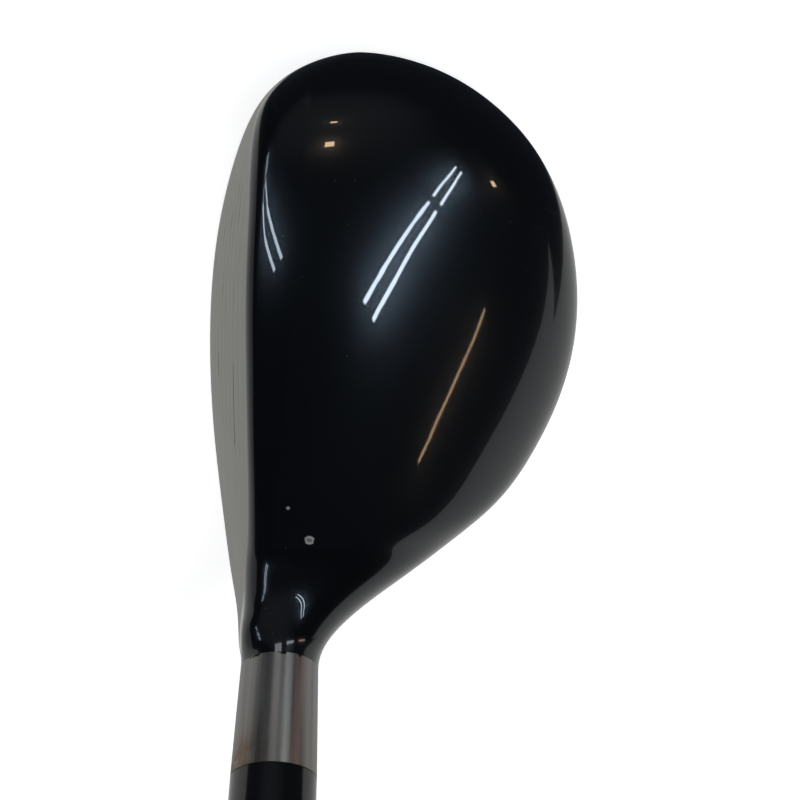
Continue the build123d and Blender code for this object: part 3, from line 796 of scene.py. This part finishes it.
def brushed_steel(name, color, roughness, stretch, turn=(0, 0, 0), depth=0.000004):
    """Bare steel with fine parallel lines; the small number in stretch is the direction they run."""
    paint = Paint(name, Metallic=1.0)
    lines = paint.noise(stretch, 6.0, turn)
    broad = paint.noise(tuple(s / 6 for s in stretch), 3.0, turn)
    dark = tuple(c * 0.78 for c in color)
    bright = tuple(min(c * 1.18, 1) for c in color)
    tone = paint.mix(paint.between(lines, 0.3, 0.7), dark, bright)
    tone = paint.mix(paint.math("MULTIPLY", paint.between(broad, 0.4, 0.7), 0.35), tone, color)
    paint.give("Roughness", paint.between(lines, 0.25, 0.75, roughness - 0.06, roughness + 0.08))
    paint.bump(lines, depth)
    return paint, tone


def face_steel():
    paint, tone = brushed_steel("face_steel", (0.36, 0.358, 0.33), 0.36, (70, 2600, 2600))
    broad = paint.between(paint.noise((9, 620, 620), 3.0), 0.30, 0.70)
    tone = paint.mix(paint.math("MULTIPLY", broad, 0.35), tone, (0.43, 0.428, 0.40))
    stain = paint.between(paint.noise((55, 55, 55), 5.0), 0.5, 0.75)
    tone = paint.mix(paint.math("MULTIPLY", stain, 0.25), tone, (0.21, 0.205, 0.18))
    paint.give("Base Color", tone)
    return paint.material


def sole_steel():
    """Satin sole, polished by turf along the swing, with short scrapes and dull nicks."""
    paint, tone = brushed_steel("sole_steel", (0.36, 0.355, 0.34), 0.30, (1800, 90, 1800))
    scrape = paint.between(paint.noise((1400, 22, 200), 2.0, (0, 0, 0.14)), 0.66, 0.72)
    nick = paint.spots(260, 0.2, 0.12)
    tone = paint.mix(paint.math("MULTIPLY", scrape, 0.4), tone, (0.62, 0.61, 0.58))
    tone = paint.mix(paint.math("MULTIPLY", nick, 0.5), tone, (0.10, 0.095, 0.085))
    paint.give("Base Color", tone)
    return paint.material


def hosel_steel():
    """Belt-finished hosel with lines along the shaft, browned by heat beside the ferrule."""
    paint, tone = brushed_steel(
        "hosel_steel", (0.34, 0.335, 0.325), 0.33, (900, 900, 26), AXIS_TURN, 0.000005)
    along = paint.along_axis()
    heat = paint.between(along, *HEAT_ALONG)
    side = paint.between(paint.coordinate(1), *HEAT_SIDE)
    cloud = paint.between(paint.noise((260, 260, 200), 5.0), 0.38, 0.62)
    stain = paint.math("MULTIPLY", paint.math("MULTIPLY", heat, side), cloud)
    tone = paint.mix(paint.math("MULTIPLY", stain, 0.97), tone, (0.20, 0.085, 0.025))
    film = paint.math("MULTIPLY", paint.between(along, 0.004, 0.019), 0.25)
    tone = paint.mix(film, tone, (0.28, 0.24, 0.19))
    edge = paint.between(along, 0.0006, 0.0002)
    crumbs = paint.math("MULTIPLY", edge, paint.between(paint.noise((900, 900, 900), 2.0), 0.55, 0.6))
    tone = paint.mix(crumbs, tone, (0.01, 0.01, 0.012))
    paint.give("Base Color", tone)
    return paint.material


def ferrule_plastic():
    paint = Paint("ferrule_plastic", Coat_Weight=0.8, Coat_Roughness=0.06, IOR=1.5)
    rings = paint.noise((60, 60, 5200), 3.0, AXIS_TURN)
    tone = paint.mix(rings, (0.0035, 0.0035, 0.0042), (0.0055, 0.0055, 0.0065))
    dust = paint.math("MULTIPLY", paint.spots(500, 0.15, 0.12), 0.4)
    paint.give("Base Color", paint.mix(dust, tone, (0.12, 0.12, 0.12)))
    paint.give("Roughness", paint.between(rings, 0.3, 0.7, 0.14, 0.20))
    paint.bump(rings, 0.0000008)
    return paint.material


def graphite():
    """Black carbon shaft under clear coat: fibre wraps crossing at a slant and a fine sparkle."""
    paint = Paint("graphite", Coat_Weight=1.0, Coat_Roughness=0.04, IOR=1.5, Metallic=0.15)
    tilt = AXIS_TURN[1]
    first = paint.noise((500, 500, 3200), 3.0, (0.35, tilt, 0))
    second = paint.noise((500, 500, 3200), 3.0, (-0.35, tilt, 0))
    weave = paint.math("MULTIPLY", first, second)
    tone = paint.mix(paint.between(weave, 0.12, 0.42), (0.006, 0.0065, 0.008), (0.035, 0.037, 0.042))
    sparkle = paint.math("MULTIPLY", paint.spots(2600, 0.2, 0.06), 0.5)
    paint.give("Base Color", paint.mix(sparkle, tone, (0.22, 0.23, 0.25)))
    paint.give("Roughness", paint.between(weave, 0.1, 0.45, 0.30, 0.48))
    paint.bump(weave, 0.000006)
    return paint.material


def foil():
    """Silvered band on the shaft with dark pinstripes and a brushed sheen."""
    paint = Paint("foil", Metallic=1.0, Coat_Weight=0.6, Coat_Roughness=0.08)
    lines = paint.noise((1500, 1500, 120), 4.0, AXIS_TURN)
    along = paint.along_axis()
    length = (BAND_END - BAND_START) * MM
    place = paint.math("DIVIDE", paint.math("SUBTRACT", along, BAND_START * MM), length)
    from_middle = paint.math("ABSOLUTE", paint.math("SUBTRACT", place, 0.5))
    edge = paint.math("ABSOLUTE", paint.math("SUBTRACT", from_middle, STRIPE_PLACE))
    stripe = paint.between(edge, *STRIPE_EDGE)
    tone = paint.mix(lines, (0.34, 0.345, 0.36), (0.60, 0.61, 0.63))
    paint.give("Base Color", paint.mix(stripe, tone, (0.012, 0.012, 0.014)))
    paint.give("Roughness", paint.between(lines, 0.3, 0.7, 0.22, 0.36))
    paint.bump(lines, 0.000004)
    return paint.material


def grip_rubber():
    """Moulded rubber: dull black with a fine grain, greyed where hands have worn it."""
    paint = Paint("grip_rubber", IOR=1.45, Specular_IOR_Level=0.35)
    grain = paint.noise((2400, 2400, 2400), 5.0)
    cloud = paint.noise((70, 70, 70), 5.0)
    tone = paint.mix(paint.between(grain, 0.3, 0.7), (0.012, 0.012, 0.0125), (0.026, 0.026, 0.026))
    worn = paint.math("MULTIPLY", paint.between(cloud, 0.5, 0.75), 0.45)
    paint.give("Base Color", paint.mix(worn, tone, (0.055, 0.053, 0.050)))
    paint.give("Roughness", paint.between(cloud, 0.3, 0.7, 0.62, 0.82))
    paint.bump(grain, 0.00006)
    return paint.material


def badge_metal():
    """Dark anodised badge, brushed heel to toe, with bright rubbed spots."""
    paint, tone = brushed_steel("badge", (0.045, 0.047, 0.052), 0.30, (60, 2200, 2200))
    rubbed = paint.between(paint.noise((160, 60, 160), 5.0), 0.6, 0.75)
    paint.give("Base Color", paint.mix(paint.math("MULTIPLY", rubbed, 0.3), tone, (0.16, 0.16, 0.16)))
    return paint.material


def turned_steel():
    """Weight screw with the rings left by its lathe tool."""
    paint = Paint("screw_steel", Metallic=1.0)
    place = paint.mapped((1, 1, 1), shift=tuple(PORT_PLACE * MM))
    away = paint.node("ShaderNodeVectorMath", {0: place}, operation="LENGTH").outputs["Value"]
    rings = paint.math("SINE", paint.math("MULTIPLY", away, 2 * pi / LATHE_PITCH))
    grain = paint.noise((900, 900, 900), 4.0)
    tone = paint.mix(paint.between(rings, -1.0, 1.0), (0.40, 0.40, 0.40), (0.56, 0.555, 0.54))
    paint.give("Base Color", paint.mix(paint.between(grain, 0.55, 0.75), tone, (0.24, 0.23, 0.21)))
    paint.give("Roughness", paint.between(grain, 0.3, 0.7, 0.24, 0.40))
    paint.bump(rings, 0.000008)
    return paint.material


def cast_material(name, low, high, scale, roughness, depth, **sockets):
    """Mottled finish for a part hidden inside the club."""
    paint = Paint(name, **sockets)
    grain = paint.noise((scale, scale, scale), 5.0)
    paint.give("Base Color", paint.mix(paint.between(grain, 0.3, 0.7), low, high))
    paint.give("Roughness", paint.between(grain, 0.3, 0.7, roughness - 0.08, roughness + 0.08))
    paint.bump(grain, depth)
    return paint.material


# ---------------------------------------------------------------- the club
def dress(piece, materials, slot, *nodes):
    """Gives a new piece its materials and puts it in place of its CAD nodes; the slot argument is not used.
    """
    for material in materials:
        piece.data.materials.append(material)
    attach(piece, "root")
    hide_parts(*nodes)


def repaint(node, material):
    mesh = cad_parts[node].data
    mesh.materials.clear()
    mesh.materials.append(material)


def build_club():
    lacquer, face, sole, hosel = black_lacquer(), face_steel(), sole_steel(), hosel_steel()
    casting, crown, plate = build_head()
    dress(casting, (lacquer, face, sole, hosel), "head_steel", "head_body")
    dress(crown, (lacquer, face, sole, hosel), "black_lacquer", "crown_shell")
    dress(plate, (lacquer, face, sole, hosel), "face_steel", "face_plate")
    rubber = grip_rubber()
    dress(build_ferrule(), (ferrule_plastic(),), "ferrule_plastic", "ferrule")
    dress(build_shaft(), (graphite(),), "graphite", "shaft")
    dress(build_band(), (foil(),), "foil", "shaft_band")
    dress(build_grip(), (rubber,), "grip_rubber", "grip_sleeve")
    dress(build_cap(), (rubber,), "grip_rubber", "grip_cap")
    repaint("sole_badge", badge_metal())
    repaint("weight_screw", turned_steel())
    tape = cast_material("tape", (0.10, 0.10, 0.095), (0.30, 0.29, 0.26), 700, 0.85, 0.00005)
    repaint("badge_tape", tape)
    repaint("grip_tape", tape)
    repaint("sole_weight", cast_material(
        "slug", (0.15, 0.15, 0.155), (0.28, 0.28, 0.28), 900, 0.5, 0.00003, Metallic=1.0))
    repaint("hot_melt_pad", cast_material(
        "hot_melt", (0.55, 0.36, 0.12), (0.68, 0.50, 0.22), 300, 0.35, 0.00008, Transmission_Weight=0.3))
    repaint("hosel_bond", cast_material(
        "epoxy", (0.30, 0.24, 0.10), (0.42, 0.36, 0.19), 500, 0.3, 0.00004, Transmission_Weight=0.3))
    repaint("tip_weight", cast_material(
        "brass", (0.48, 0.33, 0.12), (0.68, 0.50, 0.22), 800, 0.35, 0.00002, Metallic=1.0))


# ---------------------------------------------------------------- floor, light and camera
FLOOR_TONE, FLOOR_GLOW = 0.85, 0.68
# pale sheet under the club, seen only in its finish: one straight edge passes the toe at this turn
SHEET_EDGE_X, SHEET_TURN, SHEET_REACH, SHEET_DEPTH = -0.05, 72, 4.0, 0.0005
SHEET_GLOW = 0.45
# pale arched boards round the club: first and last azimuth, height of the arch in degrees, and glow
HEEL_BOARD = (-20, 90, 25, 0.45)
FRONT_BOARD = (-110, -55, 30, 0.32)
BOARD_STEPS, BOARD_REACH = 24, 2.0
ROOM_TONE = (0.016, 0.020, 0.026)
SHOP_TONE, SHOP_WAY = (0.10, 0.105, 0.115), (-0.84, 0.0, 0.54)     # dim light far off beyond the toe
COOL, WARM = (0.76, 0.87, 1.0), (1.0, 0.68, 0.42)
# ceiling fixtures hang in straight rows
CEILING = 1.5
TUBE_WIDTH, TUBE_LENGTH, TUBE_SPACING, TUBE_GAP = 0.026, 0.9, 0.10, 0.10
ROW_TURN, ROW_PITCH = 130, 1.0       # the rows' heading in degrees, and from one row to the next
CROWN_ROW = (0.3, 0.35)
FRONT_ROW, FRONT_TURN = (0.05, -0.45), ROW_TURN + 90
NECK_ROW, NECK_TURN = (-0.6, 0.3), 90
CROWN_POWER, FRONT_POWER, NECK_POWER, WARM_POWER = 1.95, 1.0, 1.0, 0.6     # watts for each metre
# round bulbs hang on a square grid of this pitch: the cells that hold one
BULB_PITCH, BULB_WIDTH, BULB_POWER = 1.0, 0.12, 6.0
BULB_CELLS = ((-1, 0), (-2, 0), (-1, 3))
# soft panels low beyond the toe light the bare hosel, evenly spaced in azimuth: colour and strength
PANEL_FIRST, PANEL_STEP = 180, -30
PANELS_ROUND = (((1.0, 0.99, 0.97), 2.7), ((0.90, 0.96, 1.0), 3.9), ((1.0, 0.60, 0.52), 3.7))
PANEL_REACH, PANEL_HEIGHT, PANEL_HALF = 3.0, 0.25, 0.45
SOFT_BOX = ((-0.6, -0.4), (0.6, 0.9), (1, 1, 1), 12.0, 1.4, 2.4)      # as add_tube takes them
LIT_PLACE = (0, 0.035, 0.03)         # every light faces this place in the head
FLOOR_HALF, BACKDROP_R, BACKDROP_SINK, BACKDROP_GLOW = 8.0, 7.5, 0.01, 0.88
CAMERA_PLACE = (-0.0600, 0.0358, 0.2134)
CAMERA_TILT = radians(20.0)
CAMERA_ROLL = radians(1.0)
CAMERA_LENS, SENSOR = 54.0, 36.0


def flat_mesh(name, points, faces, material):
    mesh = bpy.data.meshes.new(name)
    mesh.from_pydata(points, [], faces)
    mesh.update()
    mesh.materials.append(material)
    stage_piece = bpy.data.objects.new(name, mesh)
    bpy.context.collection.objects.link(stage_piece)
    return stage_piece


def glow_material(name, color, strength, base=0.0):
    material = bpy.data.materials.new(name)
    material.use_nodes = True
    shader = material.node_tree.nodes["Principled BSDF"]
    shader.inputs["Base Color"].default_value = (base, base, base, 1)
    shader.inputs["Roughness"].default_value = 0.9
    shader.inputs["Specular IOR Level"].default_value = 0.0
    shader.inputs["Emission Color"].default_value = (*color, 1)
    shader.inputs["Emission Strength"].default_value = strength
    return material


def build_floor():
    """Pale floor for the eye, and the sheet and boards whose reflections the lacquer shows."""
    half = FLOOR_HALF
    corners = [(-half, -half, 0), (half, -half, 0), (half, half, 0), (-half, half, 0)]
    pale = glow_material("floor_pale", (1, 1, 1), FLOOR_GLOW, FLOOR_TONE)
    floor = flat_mesh("floor", corners, [(0, 1, 2, 3)], pale)
    floor.visible_glossy = False
    edge, way, out = np.array([SHEET_EDGE_X, 0.0]), heading(SHEET_TURN), heading(SHEET_TURN - 90)
    near, far = edge - way * SHEET_REACH, edge + way * SHEET_REACH
    outline = (near, near + out * SHEET_REACH, far + out * SHEET_REACH, far)
    corners = [(*spot, -SHEET_DEPTH) for spot in outline]
    white = glow_material("sheet_white", (1, 1, 0.98), SHEET_GLOW)
    only_reflected(flat_mesh("sheet", corners, [(0, 1, 2, 3)], white))
    build_board("heel_board", *HEEL_BOARD)
    build_board("front_board", *FRONT_BOARD)


def build_board(name, first, last, peak, glow):
    """Upright board bent round the club, its top edge an arch."""
    points = []
    for step in range(BOARD_STEPS + 1):
        share = step / BOARD_STEPS
        x, y = heading(first + (last - first) * share) * BOARD_REACH
        top = BOARD_REACH * tan(radians(peak * sin(pi * share)))
        points += [(x, y, 0), (x, y, top)]
    faces = [(2 * i, 2 * i + 1, 2 * i + 3, 2 * i + 2) for i in range(BOARD_STEPS)]
    only_reflected(flat_mesh(name, points, faces, glow_material(name, (1, 1, 0.98), glow)))


def only_reflected(card):
    card.visible_camera = False
    card.visible_diffuse = False
    card.visible_shadow = False


def build_backdrop():
    """Pale surround seen behind the club from low angles."""
    rings, steps = 12, 48
    points, faces = [], []
    for ring in range(rings + 1):
        rise = pi / 2 * ring / rings
        for step in range(steps):
            turn = 2 * pi * step / steps
            flat = BACKDROP_R * cos(rise)
            points.append((flat * cos(turn), flat * sin(turn), BACKDROP_R * sin(rise) - BACKDROP_SINK))
    for ring in range(rings):
        for step in range(steps):
            after = (step + 1) % steps
            low, high = ring * steps, (ring + 1) * steps
            faces.append((low + step, low + after, high + after, high + step))
    dome = flat_mesh("backdrop", points, faces, glow_material("backdrop_pale", (1, 1, 1), BACKDROP_GLOW))
    dome.visible_glossy = False
    dome.visible_diffuse = False
    dome.visible_shadow = False


def add_tube(name, first, last, color, power, width=TUBE_WIDTH, height=CEILING):
    start, stop = Vector((*first, height)), Vector((*last, height))
    middle = (start + stop) / 2
    along = (stop - start).normalized()
    toward = (Vector(LIT_PLACE) - middle).normalized()
    back = (-toward - along * (-toward).dot(along)).normalized()
    side = back.cross(along)
    light = bpy.data.lights.new(name, "AREA")
    light.shape = "RECTANGLE"
    light.size, light.size_y = (stop - start).length, width
    light.color = color
    light.energy = power * (stop - start).length
    lamp = bpy.data.objects.new(name, light)
    lamp.matrix_world = Matrix((
        (along.x, side.x, back.x, middle.x), (along.y, side.y, back.y, middle.y),
        (along.z, side.z, back.z, middle.z), (0, 0, 0, 1)))
    bpy.context.collection.objects.link(lamp)
    return lamp


def build_room():
    """Dark room with a dim glow beyond the toe."""
    world = bpy.data.worlds.new("room")
    nodes = Nodes(world, "Generated")
    share = nodes.between(nodes.toward(SHOP_WAY), 0.72, 1.0)
    color = nodes.mix(share, ROOM_TONE, SHOP_TONE)
    nodes.tree.links.new(color, nodes.tree.nodes["Background"].inputs[0])
    bpy.context.scene.world = world


def tube_row(name, start, turn, color, power, receivers, fixtures=2, twin=True):
    """Ceiling fixtures end to end, each with one tube or two side by side."""
    way, side = heading(turn), heading(turn + 90)
    for fixture in range(fixtures):
        for number, shift in enumerate((-0.5, 0.5) if twin else (0,)):
            first = np.array(start) + way * fixture * (TUBE_LENGTH + TUBE_GAP) + side * shift * TUBE_SPACING
            last = first + way * TUBE_LENGTH
            lamp = add_tube("%s_%d_%d" % (name, fixture, number), first, last, color, power)
            lamp.light_linking.receiver_collection = receivers


def build_light():
    """Ceiling tubes, bulbs and low panels. Those over the crown leave the neck out; it has its own."""
    not_neck, only_neck = bpy.data.collections.new("not_neck"), bpy.data.collections.new("only_neck")
    not_neck.objects.link(bpy.data.objects["head_casting"])
    not_neck.objects.link(bpy.data.objects["ferrule_collar"])
    only_neck.objects.link(bpy.data.objects["head_casting"])
    for entry in not_neck.collection_objects:
        entry.light_linking.link_state = "EXCLUDE"
    tube_row("crown_tube", CROWN_ROW, ROW_TURN, COOL, CROWN_POWER, not_neck)
    beyond = np.array(CROWN_ROW) + heading(ROW_TURN - 90) * ROW_PITCH
    tube_row("warm_tube", beyond, ROW_TURN, WARM, WARM_POWER, not_neck, 1, False)
    tube_row("front_tube", FRONT_ROW, FRONT_TURN, COOL, FRONT_POWER, None)
    tube_row("neck_tube", NECK_ROW, NECK_TURN, COOL, NECK_POWER, only_neck, 1)
    for number, cell in enumerate(BULB_CELLS):
        middle, half = np.array(cell) * BULB_PITCH, np.array([BULB_WIDTH / 2, 0])
        lamp = add_tube("bulb_%d" % number, middle - half, middle + half, WARM, BULB_POWER, BULB_WIDTH)
        lamp.light_linking.receiver_collection = not_neck
    for number, (color, strength) in enumerate(PANELS_ROUND):
        azimuth = PANEL_FIRST + PANEL_STEP * number
        middle, half = heading(azimuth) * PANEL_REACH, heading(azimuth + 90) * PANEL_HALF
        lamp = add_tube("neck_panel_%d" % number, middle - half, middle + half, color,
                        strength * pi * PANEL_HEIGHT, PANEL_HEIGHT, PANEL_HEIGHT / 2)
        lamp.light_linking.receiver_collection = only_neck
    soft = add_tube("soft_box", *SOFT_BOX)
    soft.visible_glossy = False


def build_camera():
    camera = bpy.data.objects.new("camera", bpy.data.cameras.new("camera"))
    camera.data.lens = CAMERA_LENS
    camera.data.sensor_width = SENSOR
    camera.data.clip_start = 0.01
    right = Vector((0, 1, 0))
    up = Vector((-cos(CAMERA_TILT), 0, -sin(CAMERA_TILT)))
    back = Vector((-sin(CAMERA_TILT), 0, cos(CAMERA_TILT)))
    turned_right = right * cos(CAMERA_ROLL) - up * sin(CAMERA_ROLL)
    turned_up = up * cos(CAMERA_ROLL) + right * sin(CAMERA_ROLL)
    x, y, z = CAMERA_PLACE
    camera.matrix_world = Matrix((
        (turned_right.x, turned_up.x, back.x, x), (turned_right.y, turned_up.y, back.y, y),
        (turned_right.z, turned_up.z, back.z, z), (0, 0, 0, 1)))
    bpy.context.collection.objects.link(camera)
    bpy.context.scene.camera = camera
    bpy.context.scene.view_settings.view_transform = "Standard"


build_club()
build_floor()
build_backdrop()
build_room()
build_light()
build_camera()
bpy.context.view_layer.update()
